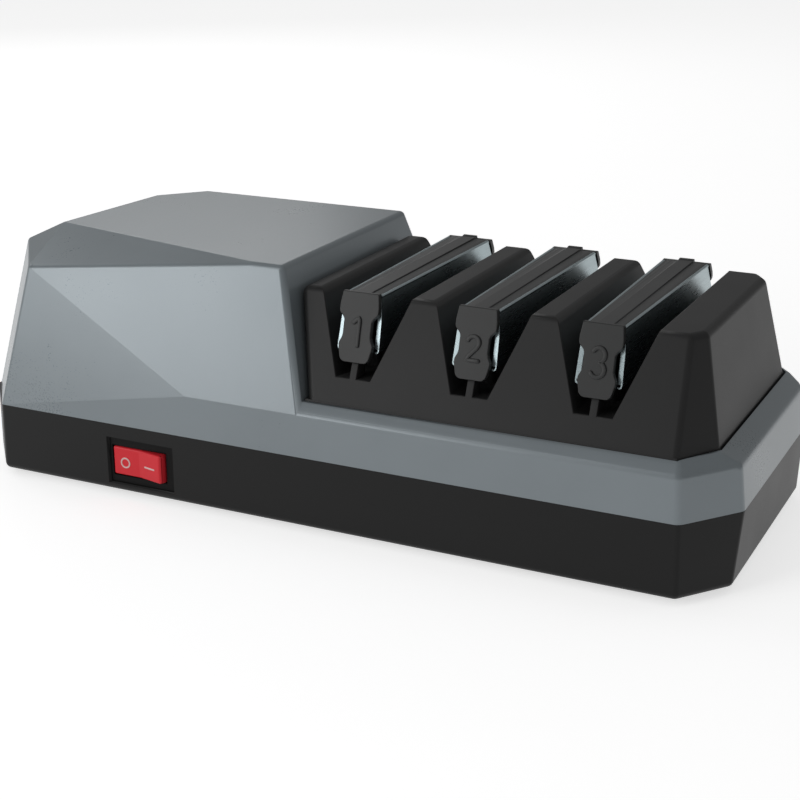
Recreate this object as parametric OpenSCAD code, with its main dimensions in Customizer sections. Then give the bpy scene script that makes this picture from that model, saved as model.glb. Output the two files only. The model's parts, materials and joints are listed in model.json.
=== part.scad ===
// Three-stage electric knife sharpener.
// Millimetres, +Z up, front at -Y, motor hump at -X, sharpening stages at +X.
// The origin is the middle of the footprint, on the surface that the feet stand on.

/* [Overall] */
// Overall length
body_l = 266; // [258:1:290]
// Overall depth, front to rear
body_d = 112; // [108:1:130]
// Height of the top of the motor hump above the table
hump_h = 82; // [80:0.5:92]
// Height of the rubber feet under the base
foot_h = 2; // [1.5:0.5:4]
// Height of the seam between the base and the cover
seam_z = 25.5; // [25:0.5:28]
// Wall of the moulded housings
wall = 2.5; // [2:0.1:3]
// Inward lean of the base's ends, from seam to floor
end_draft = 1.5; // [0.5:0.5:3]
// Length taken along X by the corner facets at the stage end
corner_x = 14; // [10:1:18]
// Length taken along X by the corner facets at the hump end
hump_corner_x = 16; // [12:1:20]
// Length taken along Y by every corner facet
corner_y = 18; // [14:1:22]

/* [Motor hump] */
// Distance from the stage end to the top edge of the hump's end wall
hump_end = 146.5; // [145:0.5:150]
// Run of the end wall from its top edge to the rim
hump_end_run = 12; // [8:0.5:16]
// Distance from the front of the body to the hump's front top edge
hump_front_in = 13.7; // [11:0.1:16]
// Distance from the rear of the body to the hump's rear top edge
hump_rear_in = 12; // [9:0.5:15]
// Drop of the front panel's upper corner below the roof
panel_drop = 10; // [7:0.5:13]
// Distance from the hump end to that corner
panel_corner_in = 23.2; // [20:0.2:28]
// Drop of the left bevel's low corner below the roof
bevel_drop = 7; // [5:0.5:9]

/* [Rim] */
// Height of the rim's outer edge above the seam
rim_h = 13.8; // [12:0.1:16]
// Inward lean of the rim's front and rear faces
rim_lean = 0.8; // [0.4:0.1:2]
// Inward lean of the rim's end face
rim_end_lean = 1.5; // [0.5:0.1:3]
// Rise of the sloping ledge from the rim's edge to the guide block
ledge_rise = 4; // [3:0.1:5]

/* [Guide block] */
// Distance from the front of the body to the guide block's foot
guide_foot_in = 4.95; // [4.8:0.05:6]
// Run of the guide block's front face from foot to top
guide_front_run = 13.6; // [10:0.1:16]
// Distance from the stage end to the guide block's foot
guide_end_in = 8.4; // [8:0.1:10]
// Run of the guide block's end face from foot to top
guide_end_run = 6.5; // [4:0.1:9]
// Drop of the guide block's top below the hump's roof
guide_drop = 6.7; // [5.7:0.1:9]
// Gap between the guide block and the cover around it
guide_gap = 0.8; // [0.5:0.1:1.2]
// Wall of the guide block
guide_wall = 2.4; // [2:0.1:3]

/* [Sharpening stages] */
// Number of stages
stages = 3;
// Distance from one stage to the next
pitch = 38.5; // [37:0.5:40]
// Distance from the stage end to the middle of the last stage
last_stage_in = 43; // [42:0.5:45]
// Half width of a notch at the top
notch_top = 15.2; // [14:0.1:16]
// Half width of a notch at its floor
notch_floor = 5.8; // [5.6:0.1:6.5]
// Depth of a notch
notch_depth = 24.5; // [23:0.1:25.5]
// Rounding of the lobe crest on a notch's left side
crest_r = 3; // [1:0.5:4]
// Half width of a saddle's head
saddle_half = 6.6; // [6.4:0.1:7]
// Half width of a saddle's neck
neck_half = 4.7; // [3.8:0.1:5]
// Height of a saddle's top above the guide block's top
saddle_proud = 0.9; // [0:0.1:1.5]
// How much wider a saddle is at its rear, on each side
saddle_splay = 1.8; // [0:0.1:2]
// Lean of a saddle's end plates
plate_lean = 16; // [10:0.5:18]
// Thickness of a saddle's end plates
plate_t = 2; // [1.6:0.1:2.4]
// Sheet thickness of a guide spring
leaf_t = 0.5; // [0.4:0.1:0.6]

/* [Drive] */
// Radius of the arbor shaft
shaft_r = 3; // [2.5:0.1:3.5]
// Room between the disks and the base's floor
disk_clear = 3.5; // [3:0.1:6]
// Travel of a disk along the shaft
disk_float = 1; // [0.5:0.1:1.2]
// Length of the motor's core
core_l = 26; // [20:1:28]
// Room between the fan's blades and the base's floor
fan_clear = 4; // [3:0.1:7]
// Room between the motor's core and the roof, for the coil
coil_room = 9.5; // [9:0.1:12]
// Room between the motor's core and the switch's terminals
terminal_room = 3.3; // [2:0.1:3.6]

/* [Switch] */
// Distance from the hump's end wall to the middle of the switch
switch_in = 48.1; // [46:0.1:56]
// Width of the switch plate
plate_w = 25.8; // [25:0.2:28]
// Height of the switch plate
plate_h = 16.2; // [15:0.2:16.8]
// Distance from the middle of the plate to the rocker's middle
rocker_shift = 1.1; // [0:0.1:1.2]
// Height of the rocker
rocker_h = 9.8; // [9:0.2:11]
// Half width of the rocker
rocker_half = 10.1; // [8:0.1:10.1]
// Angle that the rocker tilts from off to on
rocker_swing = 12; // [8:1:14]

/* [Hidden] */
$fn = 48;
reach = 400;
eps = 0.01;
close_fit = 0.02;  // radial clearance of pieces pressed or screwed together
run_fit = 0.05;    // radial clearance of a turning or sliding fit

// ---- colours
cover_grey = [0.58, 0.62, 0.65];
base_black = [0.17, 0.17, 0.17];
guide_black = [0.22, 0.22, 0.22];
steel = [0.75, 0.77, 0.78];
zinc = [0.62, 0.62, 0.6];
bronze = [0.62, 0.45, 0.25];
copper = [0.72, 0.38, 0.18];
red = [0.82, 0.15, 0.17];
rubber_black = [0.1, 0.1, 0.1];
nylon = [0.88, 0.87, 0.82];
grit = [0.45, 0.42, 0.34];

// ---- body outline
left_x = -body_l / 2;
right_x = body_l / 2;
rear_y = body_d / 2;
front_y = -rear_y;
floor_top = foot_h + wall;
rim_z = seam_z + rim_h;
ledge_z = rim_z + ledge_rise;
hump_end_x = right_x - hump_end;
hump_lean = hump_end_run / (hump_h - rim_z);
function hump_wall_x(z) = hump_end_x + hump_lean * (hump_h - z);

// ---- guide block
guide_top = hump_h - guide_drop;
guide_foot_y = rear_y - guide_foot_in;
guide_foot_x = right_x - guide_end_in;
guide_corner = [8.5, 12.9];
guide_crest_corner = 3.4;
skirt_z = rim_z - 3.1;
flange_t = 2;
flange_w = 1.2;
notch_floor_z = guide_top - notch_depth;
notch_slope = (notch_top - notch_floor) / notch_depth;
function stage_x(i) = right_x - last_stage_in - (stages - 1 - i) * pitch;
function notch_half(z) = notch_floor + notch_slope * (z - notch_floor_z);
post_half = 1.15;
post_h = 5;

// ---- saddles and their springs
saddle_top = guide_top + saddle_proud;
saddle_foot_z = notch_floor_z + post_h;
saddle_front_y = -(guide_foot_y - guide_front_run + 4.1);
bead_r = 0.55;
bead_x = saddle_half - 1.1;
bead_z = saddle_top - 1;
leaf_foot_z = saddle_foot_z + 3.6;
leaf_knee_z = saddle_top - 8;
leaf_out = saddle_half + 0.55;
leaf_knee = leaf_out - 0.35;
flange_in = 1.5;
splay_angle = atan(saddle_splay / (-2 * saddle_front_y));
function splay_at(y) = saddle_splay * (y - saddle_front_y) / (-2 * saddle_front_y);
peg_r = 2;
peg_y = 32;

// ---- drive
disk_rise = 2.2;        // height of a disk's edge above the notch floor
disk_r = (notch_floor_z + disk_rise - floor_top - disk_clear) / 2;
shaft_z = notch_floor_z + disk_rise - disk_r;
fan_r = shaft_z - floor_top - fan_clear;
disk_in = 2.6;          // inner face of a disk, from the middle of its stage
disk_land = 1.4;        // width of its rim
cone_depth = 3.5;       // depth of its abrasive cone
hub_r = 8;
hub_out = 10.2;         // outer end of its hub
pin_r = 1;
pin_x = 9.2;
pocket_r = 6.6;
pocket_out = 5.6;
spring_wire = 0.4;
spring_coil_r = 5.4;
spring_turns = 4.5;
motor_x = left_x + 58;  // middle of the motor's core
bracket_out = core_l / 2 + 7;
bush_r = 6;
bush_l = 8;
holder_x = stage_x(stages - 1) + 19;
shaft_x0 = motor_x - 47;
shaft_x1 = holder_x + 6;
core_low = floor_top + 2.5;
core_high = hump_h - wall - coil_room;
core_web = 6.4;         // iron under and beside the bore
rotor_r = shaft_z - core_low - core_web - 0.5;
bolt_y = rotor_r + core_web + 1.5;
bolt_r = 2;
core_half = bolt_y + 6.5;
window_half = core_half - 12;
bar_t = 8;
foot_plate_z = floor_top + 3.5;
foot_y = bolt_y - 3.5;     // the brackets' feet screws
foot_x = bracket_out + 6.2;

// ---- switch
switch_x = hump_end_x - switch_in;
switch_z = foot_h + 10.7;
rocker_x = switch_x - rocker_shift;
rocker_z = switch_z - 0.2;
plate_recess = 1.2;
rocker_pivot_y = front_y + 4.5;
rocker_face = 3.4;      // from the pivot to the rocker's fold
rocker_r = norm([rocker_half, rocker_face]);
switch_depth = 13;
terminal_l = rear_y - core_half - plate_recess - switch_depth - terminal_room;

// ---- fasteners
screw_r = 1.5;
screw_head_r = 3.2;
boss_r = 4.5;
screw_seat_z = foot_h + 12;
screw_tip_z = seam_z + 10;
partition_x = hump_end_x + 3.5;
cover_screws = [for (y = [-1, 1]) each [[left_x + 17, y * (rear_y - 14)],
  [hump_end_x - 8.5, y * (rear_y - 12)]]];
guide_screws = [for (i = [0:stages - 2]) for (y = [-1, 1])
  [stage_x(i) + pitch / 2, y * (guide_foot_y - 13)]];
foot_spots = [for (x = [left_x + 33, right_x - 33]) for (y = [-1, 1]) [x, y * (rear_y - 14)]];
foot_r = 6.5;
foot_recess = 1;
grommet_x = left_x + 33;
grommet_z = foot_h + 12;
cord_r = 3.6;

// ======== helpers ========

// A face of a solid: a point on it and its outward normal
function outward(n, p, inside) = n * (p - inside) > 0 ? n : -n;
function facet(a, b, c, inside) = [a, outward(cross(b - a, c - a), a, inside)];
function level(z) = [[0, 0, z], [0, 0, 1]];
function mirror_y(p) = [p[0], -p[1], p[2]];

// Everything beyond a face that is moved inwards by inset
module beyond(face, inset) {
  n = face[1] / norm(face[1]);
  translate(face[0] - n * inset)
    rotate([0, acos(n[2]), atan2(n[1], n[0])])
      translate([-reach, -reach, 0])
        cube([2 * reach, 2 * reach, reach]);
}

// The solid inside all the faces, between two heights
module faceted(faces, inset, z0, z1, x0 = left_x - 10) {
  difference() {
    translate([x0, front_y - 10, z0])
      cube([right_x + 10 - x0, body_d + 20, z1 - z0]);
    for (f = faces)
      beyond(f, inset);
  }
}

// A flat outline in Y and Z, drawn out along X
module along_x(x0, l) {
  translate([x0, 0, 0]) rotate([90, 0, 90]) linear_extrude(l) children();
}

// A flat outline in X and Z, drawn out along Y
module along_y(y0, l) {
  translate([0, y0 + l, 0]) rotate([90, 0, 0]) linear_extrude(l) children();
}

module rod_x(x0, l, r, y = 0, z = shaft_z) {
  translate([x0, y, z]) rotate([0, 90, 0]) cylinder(r = r, h = l);
}

module post(p, z0, z1, r) {
  translate([p[0], p[1], z0]) cylinder(r = r, h = z1 - z0);
}

module box(x0, x1, y0, y1, z0, z1) {
  translate([x0, y0, z0]) cube([x1 - x0, y1 - y0, z1 - z0]);
}

// Rectangle with its corners cut, grown by g on every side
module cut_corner_outline(x0, x1, y, corner, g) {
  cx = corner[0];
  cy = corner[1];
  polygon([[x0 - g, -y - g], [x1 - cx + g / 2, -y - g], [x1 + g, -y + cy - g / 2],
    [x1 + g, y - cy + g / 2], [x1 - cx + g / 2, y + g], [x0 - g, y + g]]);
}

// ======== faces of the housings ========

base_mid = [0, 0, seam_z / 2];
seam_fl = [left_x + hump_corner_x, front_y, seam_z];
seam_lf = [left_x, front_y + corner_y, seam_z];
seam_fr = [right_x - corner_x, front_y, seam_z];
seam_rf = [right_x, front_y + corner_y, seam_z];
low_fl = [seam_fl[0] - end_draft / 3, front_y, foot_h];
low_fr = [seam_fr[0] + end_draft / 3, front_y, foot_h];
base_end_faces = [
  facet(seam_rf, mirror_y(seam_rf), [right_x - end_draft, 0, foot_h], base_mid),
  facet(seam_lf, mirror_y(seam_lf), [left_x + end_draft, 0, foot_h], base_mid)];
base_corner_faces = [facet(seam_fl, seam_lf, low_fl, base_mid),
  facet(seam_fr, seam_rf, low_fr, base_mid)];
base_faces = concat(base_end_faces, base_corner_faces,
  [for (f = base_corner_faces) [mirror_y(f[0]), mirror_y(f[1])]],
  [[seam_fl, [0, -1, 0]], [mirror_y(seam_fl), [0, 1, 0]]]);

hump_mid = [motor_x, 0, (seam_z + hump_h) / 2];
roof_front_y = front_y + hump_front_in;
roof_rear_y = rear_y - hump_rear_in;
panel_right = [hump_end_x, roof_front_y, hump_h];
panel_left = [left_x + panel_corner_in, front_y + 10.7, hump_h - panel_drop];
panel_crease = [left_x + 85, front_y + 2, rim_z + 4.2];
bevel_right = [hump_end_x - 6.5, roof_front_y, hump_h];
bevel_left = [left_x + 21, front_y + 34.5, hump_h];
bevel_low = [left_x + 6.2, front_y + 32.7, hump_h - bevel_drop];
roof_left_rear = [left_x + 25.5, rear_y - 26, hump_h];
roof_rear = [left_x + 38, roof_rear_y, hump_h];
rim_front_face = facet([0, front_y, seam_z], [1, front_y, seam_z],
  [0, front_y + rim_lean, rim_z], hump_mid);
hump_faces = [level(hump_h), rim_front_face,
  facet(panel_right, panel_left, panel_left + [10, 0, 0], hump_mid),
  facet(panel_left, panel_crease, seam_fl, hump_mid),
  facet(panel_left, bevel_left, bevel_right, hump_mid),
  facet(panel_left, bevel_low, bevel_left, hump_mid),
  facet(panel_left, seam_fl, bevel_low, hump_mid),
  facet(seam_lf, mirror_y(seam_lf), bevel_low, hump_mid),
  facet(bevel_low, bevel_left, roof_left_rear, hump_mid),
  facet(mirror_y(seam_lf), mirror_y(seam_fl), roof_rear, hump_mid),
  facet(roof_rear, roof_rear + [10, 0, 0], [0, rear_y - rim_lean, rim_z], hump_mid),
  [mirror_y(rim_front_face[0]), mirror_y(rim_front_face[1])],
  facet(panel_right, panel_right + [0, 10, 0], [hump_wall_x(rim_z), 0, rim_z], hump_mid)];

rim_mid = [right_x / 2, 0, (seam_z + rim_z) / 2];
rim_fr = [seam_fr[0] - rim_lean, front_y + rim_lean, rim_z];
rim_rf = [right_x - rim_end_lean, seam_rf[1], rim_z];
ledge_front_y = -(guide_foot_y + guide_gap);
ledge_end_x = guide_foot_x + guide_gap;
rim_half_faces = [rim_front_face,
  facet(seam_fr, seam_rf, rim_fr, rim_mid),
  facet([0, rim_fr[1], rim_z], [1, rim_fr[1], rim_z], [0, ledge_front_y, ledge_z], rim_mid),
  facet(rim_fr, rim_rf, [ledge_end_x - guide_corner[0], ledge_front_y, ledge_z], rim_mid)];
rim_faces = concat(rim_half_faces,
  [for (f = rim_half_faces) [mirror_y(f[0]), mirror_y(f[1])]],
  [level(ledge_z),
  facet(seam_rf, mirror_y(seam_rf), rim_rf, rim_mid),
  facet(rim_rf, mirror_y(rim_rf), [ledge_end_x, 0, ledge_z], rim_mid)]);

guide_mid = [stage_x(1), 0, (ledge_z + guide_top) / 2];
guide_left_x = hump_wall_x(guide_top) + guide_gap;
foot_front = [0, -guide_foot_y, ledge_z];
crest_front = [0, -guide_foot_y + guide_front_run, guide_top];
foot_end = [guide_foot_x, 0, ledge_z];
crest_end = [guide_foot_x - guide_end_run, 0, guide_top];
crest_corner = [crest_end[0] - guide_crest_corner, crest_front[1], guide_top];
guide_half_faces = [
  facet(foot_front, foot_front + [1, 0, 0], crest_front, guide_mid),
  facet([guide_foot_x - guide_corner[0], -guide_foot_y, ledge_z],
    [guide_foot_x, guide_corner[1] - guide_foot_y, ledge_z], crest_corner, guide_mid)];
guide_faces = concat(guide_half_faces,
  [for (f = guide_half_faces) [mirror_y(f[0]), mirror_y(f[1])]],
  [level(guide_top),
  facet(foot_end, foot_end + [0, 1, 0], crest_end, guide_mid),
  facet([guide_left_x, 0, guide_top], [guide_left_x, 1, guide_top],
    [hump_wall_x(ledge_z) + guide_gap, 0, ledge_z], guide_mid)]);
skirt_x0 = hump_wall_x(rim_z) + guide_gap;

// ======== housings ========

module base_housing() color(base_black) {
  difference() {
    union() {
      difference() {
        faceted(base_faces, 0, foot_h, seam_z);
        faceted(base_faces, wall, floor_top, seam_z + 1);
      }
      intersection() {
        faceted(base_faces, wall / 2, foot_h + wall / 2, seam_z);
        union() {
          for (p = concat(cover_screws, guide_screws)) base_boss(p);
          base_partition();
        }
      }
      for (x = [motor_x - foot_x, motor_x + foot_x])
        for (y = [-1, 1])
          post([x, y * foot_y], floor_top - eps, foot_plate_z, boss_r);
      for (y = [-1, 1])
        post([holder_x, y * 16], floor_top - eps, foot_plate_z, boss_r);
      switch_pocket();
    }
    for (p = concat(cover_screws, guide_screws)) {
      post(p, 0, screw_seat_z, screw_head_r + 0.4);
      post(p, 0, seam_z + 1, screw_r + 0.3);
    }
    for (p = foot_spots) post(p, 0, foot_h + foot_recess, foot_r + 0.1);
    for (x = [motor_x - foot_x, motor_x + foot_x])
      for (y = [-1, 1])
        post([x, y * foot_y], foot_plate_z - 5, foot_plate_z + 1, screw_r + close_fit);
    for (y = [-1, 1])
      post([holder_x, y * 16], foot_plate_z - 5, foot_plate_z + 1, screw_r + close_fit);
    switch_window();
    translate([grommet_x, rear_y - wall - 1, grommet_z]) rotate([-90, 0, 0])
      cylinder(r = cord_r + 2, h = wall + 2);
    for (i = [0:7]) vent_slot(motor_x - 21 + 6 * i);
    for (i = [0:2]) vent_slot(left_x + 10 + 6 * i);
  }
}

// Screw tower with two gussets
module base_boss(p) {
  post(p, foot_h + wall / 2, seam_z, boss_r + (p[0] > partition_x ? 0 : 0.3));
  box(p[0] - 0.8, p[0] + 0.8, min(p[1], sign(p[1]) * rear_y), max(p[1], sign(p[1]) * rear_y),
    floor_top - eps, seam_z - 3);
}

// Wall between motor room and grinding room, open above the shaft
module base_partition() {
  difference() {
    box(partition_x, partition_x + 2, front_y, rear_y, foot_h + wall / 2, seam_z);
    rod_x(partition_x - 1, 4, shaft_r + 2);
    box(partition_x - 1, partition_x + 3, -shaft_r - 2, shaft_r + 2, shaft_z, reach);
  }
}

module vent_slot(x) {
  box(x - 1.2, x + 1.2, -15, 15, foot_h - 1, floor_top + 1);
  for (y = [-15, 15]) post([x, y], foot_h - 1, floor_top + 1, 1.2);
}

// Thickened seat that the switch plate drops into from the front
module switch_pocket() {
  box(switch_x - plate_w / 2 - 2, switch_x + plate_w / 2 + 2, front_y + wall / 2,
    front_y + wall + 2, foot_h + wall / 2, min(switch_z + plate_h / 2 + 2, seam_z));
}

module switch_window() {
  box(switch_x - plate_w / 2, switch_x + plate_w / 2, front_y - 1,
    front_y + plate_recess + 1.5, switch_z - plate_h / 2, switch_z + plate_h / 2);
  box(switch_x - plate_w / 2 + 0.6, switch_x + plate_w / 2 - 0.6, front_y - 1,
    front_y + wall + 4, switch_z - plate_h / 2 + 1, switch_z + plate_h / 2 - 1);
}

module top_cover() color(cover_grey) {
  difference() {
    union() {
      faceted(hump_faces, 0, seam_z, hump_h + 1);
      difference() {
        faceted(rim_faces, 0, seam_z, ledge_z + 1, hump_end_x - 10);
        guide_opening();
      }
    }
    difference() {
      faceted(hump_faces, wall, seam_z - 1, hump_h + 1);
      for (p = cover_screws) post(p, seam_z - 2, hump_h, boss_r - 0.5);
      for (x = [motor_x - 29, motor_x + 29]) cover_rib(x);
    }
    faceted(rim_faces, wall, seam_z - 1, ledge_z + 1, hump_end_x + 2);
    for (p = cover_screws) post(p, seam_z - 1, screw_tip_z + 1, screw_r + close_fit);
  }
}

// Stiffener under the roof
module cover_rib(x) {
  difference() {
    box(x - 0.8, x + 0.8, front_y, rear_y, shaft_z, hump_h);
    rod_x(x - 1, 2, hump_h - shaft_z - 10);
    box(x - 1, x + 1, front_y, rear_y, shaft_z - 1, hump_h - 30);
  }
}

module guide_opening() {
  translate([0, 0, seam_z - 1]) linear_extrude(reach)
    cut_corner_outline(hump_end_x - 11, guide_foot_x, guide_foot_y, guide_corner, guide_gap);
}

// ======== guide block ========

module guide_block() color(guide_black) {
  difference() {
    union() {
      guide_shell();
      intersection() {
        guide_solid(0);
        for (i = [0:stages - 1]) along_y(front_y, body_d) notch_outline(i, guide_wall);
      }
      for (p = guide_screws) guide_post(p);
    }
    for (i = [0:stages - 1]) along_y(front_y, body_d) notch_outline(i, 0);
    for (i = [0:stages - 1]) for (s = [-1, 1]) disk_slot(i, s);
    for (i = [0:stages - 1]) for (s = [-1, 1])
      post([stage_x(i), s * peg_y], notch_floor_z - 9, notch_floor_z + 1, peg_r + close_fit);
    for (p = guide_screws) post(p, seam_z - 1, screw_tip_z + 1, screw_r + close_fit);
  }
  intersection() {
    guide_solid(0);
    for (i = [0:stages - 1]) for (s = [-1, 1]) saddle_rest(i, s);
  }
}

module guide_solid(inset) {
  faceted(guide_faces, inset, ledge_z - 1, guide_top + 1, hump_end_x - 10);
}

module skirt_outline(g) {
  cut_corner_outline(skirt_x0, guide_foot_x, guide_foot_y, guide_corner, g);
}

module guide_shell() {
  difference() {
    union() {
      guide_solid(0);
      translate([0, 0, skirt_z]) linear_extrude(ledge_z - skirt_z) skirt_outline(0);
      translate([0, 0, skirt_z]) linear_extrude(flange_t) skirt_outline(flange_w);
    }
    guide_solid(guide_wall);
    translate([0, 0, skirt_z - 1]) linear_extrude(ledge_z - skirt_z + 1 + eps)
      skirt_outline(-guide_wall);
  }
}

// Section of a notch, grown by g into the block
module notch_outline(i, g) {
  side = g / cos(atan(notch_slope));
  top_z = guide_top + 2;
  floor_z = notch_floor_z - g;
  top_half = notch_half(top_z) + side;
  floor_half = notch_half(floor_z) + side;
  translate([stage_x(i), 0]) {
    polygon([[-top_half, top_z], [-floor_half, floor_z], [floor_half, floor_z], [top_half, top_z]]);
    if (g == 0) {
      crest_cut(-1, crest_r);
      crest_cut(1, crest_r / 3);
    }
  }
}

// Rounds the crest of a lobe where it meets a notch
module crest_cut(side, r) {
  t = r * tan((90 - atan(notch_slope)) / 2);
  x = notch_half(guide_top);
  scale([side, 1]) difference() {
    polygon([[x - notch_slope * t, guide_top - t], [x, guide_top + 1],
      [x + t, guide_top + 1], [x + t, guide_top - r * (1 - sin(60))], [x, guide_top - t]]);
    translate([x + t, guide_top - r]) circle(r = r);
  }
}

// Slot in a notch's floor that a disk reaches up through
module disk_slot(i, s) {
  x0 = stage_x(i) + (s > 0 ? post_half : -notch_floor);
  box(x0, x0 + notch_floor - post_half, -15, 15, notch_floor_z - guide_wall - 4, notch_floor_z + 1);
}

// Small post in the mouth of a notch, which the saddle's end plate stands on
module saddle_rest(i, s) {
  y0 = s > 0 ? guide_foot_y - 9.5 : -guide_foot_y;
  box(stage_x(i) - post_half, stage_x(i) + post_half, y0, y0 + 9.5,
    notch_floor_z - eps, saddle_foot_z);
}

// Screw post that comes down from a lobe to the base
module guide_post(p) {
  intersection() {
    post(p, seam_z, guide_top, boss_r - 0.5);
    union() {
      guide_solid(guide_wall / 2);
      box(left_x, right_x, front_y, rear_y, seam_z, ledge_z);
    }
  }
}

// ======== saddles ========

module saddle(i) color(guide_black) {
  translate([stage_x(i), 0, 0]) {
    intersection() {
      union() {
        saddle_plate(0);
        scale([1, -1, 1]) saddle_plate(saddle_splay);
      }
      box(-12, 12, front_y, rear_y, saddle_foot_z, hump_h);
    }
    saddle_cap();
    saddle_web();
    for (s = [-1, 1]) post([0, s * peg_y], notch_floor_z - 4, saddle_foot_z + 1, peg_r);
  }
}

// Leaning end plate with head, neck and rounded foot; extra is what each side has more of
module saddle_plate(extra) {
  l = (saddle_top - saddle_foot_z) / cos(plate_lean);
  translate([0, saddle_front_y, saddle_top]) rotate([-plate_lean, 0, 0])
    difference() {
      translate([0, plate_t, -l]) rotate([90, 0, 0]) linear_extrude(plate_t)
        saddle_plate_outline(l, extra);
      translate([0, -1, 0]) rotate([plate_lean, 0, 0])
        translate([-12, -5, 0]) cube([24, 20, 5]);
    }
}

module saddle_plate_outline(l, extra) {
  foot = saddle_half - 0.85 + 0.3 * extra;
  neck = neck_half + 0.3 * extra;
  head = saddle_half + extra;
  half = [[foot - 2.8, 0], [foot - 1.9, 0.2], [foot - 1.25, 0.65], [foot - 0.8, 1.4],
    [foot - 0.15, 4.2], [foot, 5.2], [foot - 0.1, 6], [neck + 0.25, 7.3], [neck, 8.2],
    [neck, l - 8.3], [neck + 0.3, l - 7.6], [head - 0.3, l - 6.3], [head, l - 5.6],
    [head, l - 3.6], [head - 0.6, l + 0.6]];
  polygon(concat(half, [for (k = [len(half) - 1:-1:0]) [-half[k].x, half[k].y]]));
}

// Low crowned cap, wider at the rear, with a raised strip along its middle and a groove
// along each side for the beads of the springs
module saddle_cap() {
  y = -saddle_front_y - 0.3;
  edge = 0.25;
  crown = 0.4;
  wide = bead_x + saddle_splay;
  arc_r = (wide * wide + crown * crown) / (2 * crown);
  difference() {
    union() {
      intersection() {
        along_y(-y, 2 * y) intersection() {
          translate([-wide - 1, saddle_top - 3]) square([2 * wide + 2, 4]);
          translate([0, saddle_top - 0.3 - arc_r]) circle(r = arc_r, $fn = 96);
        }
        translate([0, 0, saddle_top - 4]) linear_extrude(6)
          polygon([for (p = [[-1, -y], [1, -y], [1, y], [-1, y]])
            [p.x * (bead_x + splay_at(p.y) - edge), p.y]]);
      }
      box(-2.5, 2.5, -y, y, saddle_top - 1, saddle_top);
    }
    for (s = [-1, 1]) scale([s, 1, 1]) splayed()
      translate([bead_x, front_y, bead_z]) rotate([-90, 0, 0])
        cylinder(r = bead_r + run_fit, h = body_d, $fn = 48);
  }
}

// Turned outwards about the saddle's front end
module splayed() {
  translate([0, saddle_front_y, 0]) rotate([0, 0, -splay_angle])
    translate([0, -saddle_front_y, 0]) children();
}

module saddle_web() {
  y = -saddle_front_y - 1;
  box(-1.2, 1.2, -y, y, saddle_foot_z, saddle_top - 2);
}

// ======== guide springs ========

// Steel leaf that presses the blade against the notch; side is -1 left, 1 right
module guide_spring(i, side) color(steel) {
  translate([stage_x(i), 0, 0]) scale([side, 1, 1]) splayed()
    intersection() {
      union() {
        translate([bead_x, front_y, bead_z]) rotate([-90, 0, 0])
          cylinder(r = bead_r, h = body_d, $fn = 48);
        along_y(front_y, body_d) leaf_outline();
        for (s = [-1, 1]) scale([1, -s, 1]) leaf_flange();
      }
      leaf_side();
    }
}

module leaf_outline() {
  polygon([[bead_x - 0.1, bead_z - 0.2], [sheet_x(bead_z), bead_z], [leaf_knee, leaf_knee_z],
    [leaf_out, leaf_foot_z], [leaf_out - 0.25, leaf_foot_z - 0.65],
    [leaf_out - 0.9, leaf_foot_z - 0.95], [leaf_out - 1.6, leaf_foot_z - 0.7],
    [leaf_out - 1.4, leaf_foot_z - 0.25], [leaf_out - 0.85, leaf_foot_z - 0.45],
    [leaf_out - leaf_t, leaf_foot_z], [leaf_knee - leaf_t, leaf_knee_z]]);
}

// Outer face of a leaf at a height between its knee and its bead
function sheet_x(z) = leaf_knee
  - (leaf_knee - bead_x - 0.35) * (z - leaf_knee_z) / (bead_z - leaf_knee_z);

// Lip folded in at the front end of the leaf
module leaf_flange() {
  top_z = leaf_knee_z + 3;
  intersection() {
    along_y(front_y, body_d) polygon([[leaf_knee - flange_in, top_z - 1.2],
      [leaf_knee - flange_in + 0.5, top_z], [sheet_x(top_z) - leaf_t / 2, top_z],
      [leaf_knee - leaf_t / 2, leaf_knee_z], [leaf_out - leaf_t / 2, leaf_foot_z + 0.4],
      [leaf_out - flange_in, leaf_foot_z + 0.4]]);
    translate([0, leaf_end_y(), saddle_top]) rotate([-plate_lean, 0, 0])
      translate([0, -1, -reach / 2]) cube([reach, leaf_t + 1, reach]);
  }
}

function leaf_end_y() = saddle_front_y + (plate_t + 0.5) / cos(plate_lean);

// Side view of a leaf: its ends lean with the saddle's plates
module leaf_side() {
  h = saddle_top - leaf_foot_z + 2;
  run = h * tan(plate_lean);
  y = -leaf_end_y();
  rotate([90, 0, 90]) linear_extrude(reach)
    polygon([[-y, saddle_top], [y, saddle_top], [y + run, saddle_top - h],
      [-y - run, saddle_top - h]]);
}

// ======== abrasive disks ========

module grinding_disk(i, side, tint) color(tint) {
  translate([stage_x(i), 0, 0]) scale([side, 1, 1]) difference() {
    union() {
      rod_x(disk_in, disk_land, disk_r);
      translate([disk_in + disk_land - eps, 0, shaft_z]) rotate([0, 90, 0])
        cylinder(r1 = disk_r, r2 = disk_r / 2, h = cone_depth);
      rod_x(disk_in, hub_out - disk_in, hub_r);
    }
    rod_x(0, hub_out + 1, shaft_r + run_fit);
    rod_x(0, pocket_out, pocket_r);
    box(pin_x - pin_r - 0.1, hub_out + 1, -hub_r - 1, hub_r + 1, shaft_z - pin_r - 0.1,
      shaft_z + pin_r + 0.1);
  }
}

module drive_pins() color(steel) {
  for (i = [0:stages - 1]) for (s = [-1, 1])
    translate([stage_x(i) + s * pin_x, -hub_r + 0.5, shaft_z]) rotate([-90, 0, 0])
      cylinder(r = pin_r, h = 2 * hub_r - 1);
}

// Compression spring between the two disks of a stage
function helix_ring(a, l, turns, r, wire, sides) = [for (k = [0:sides - 1])
  let(b = 360 * k / sides, q = r + wire * cos(b))
  [l * (a / (360 * turns) - 0.5) + wire * sin(b), q * cos(a), shaft_z + q * sin(a)]];

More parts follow.
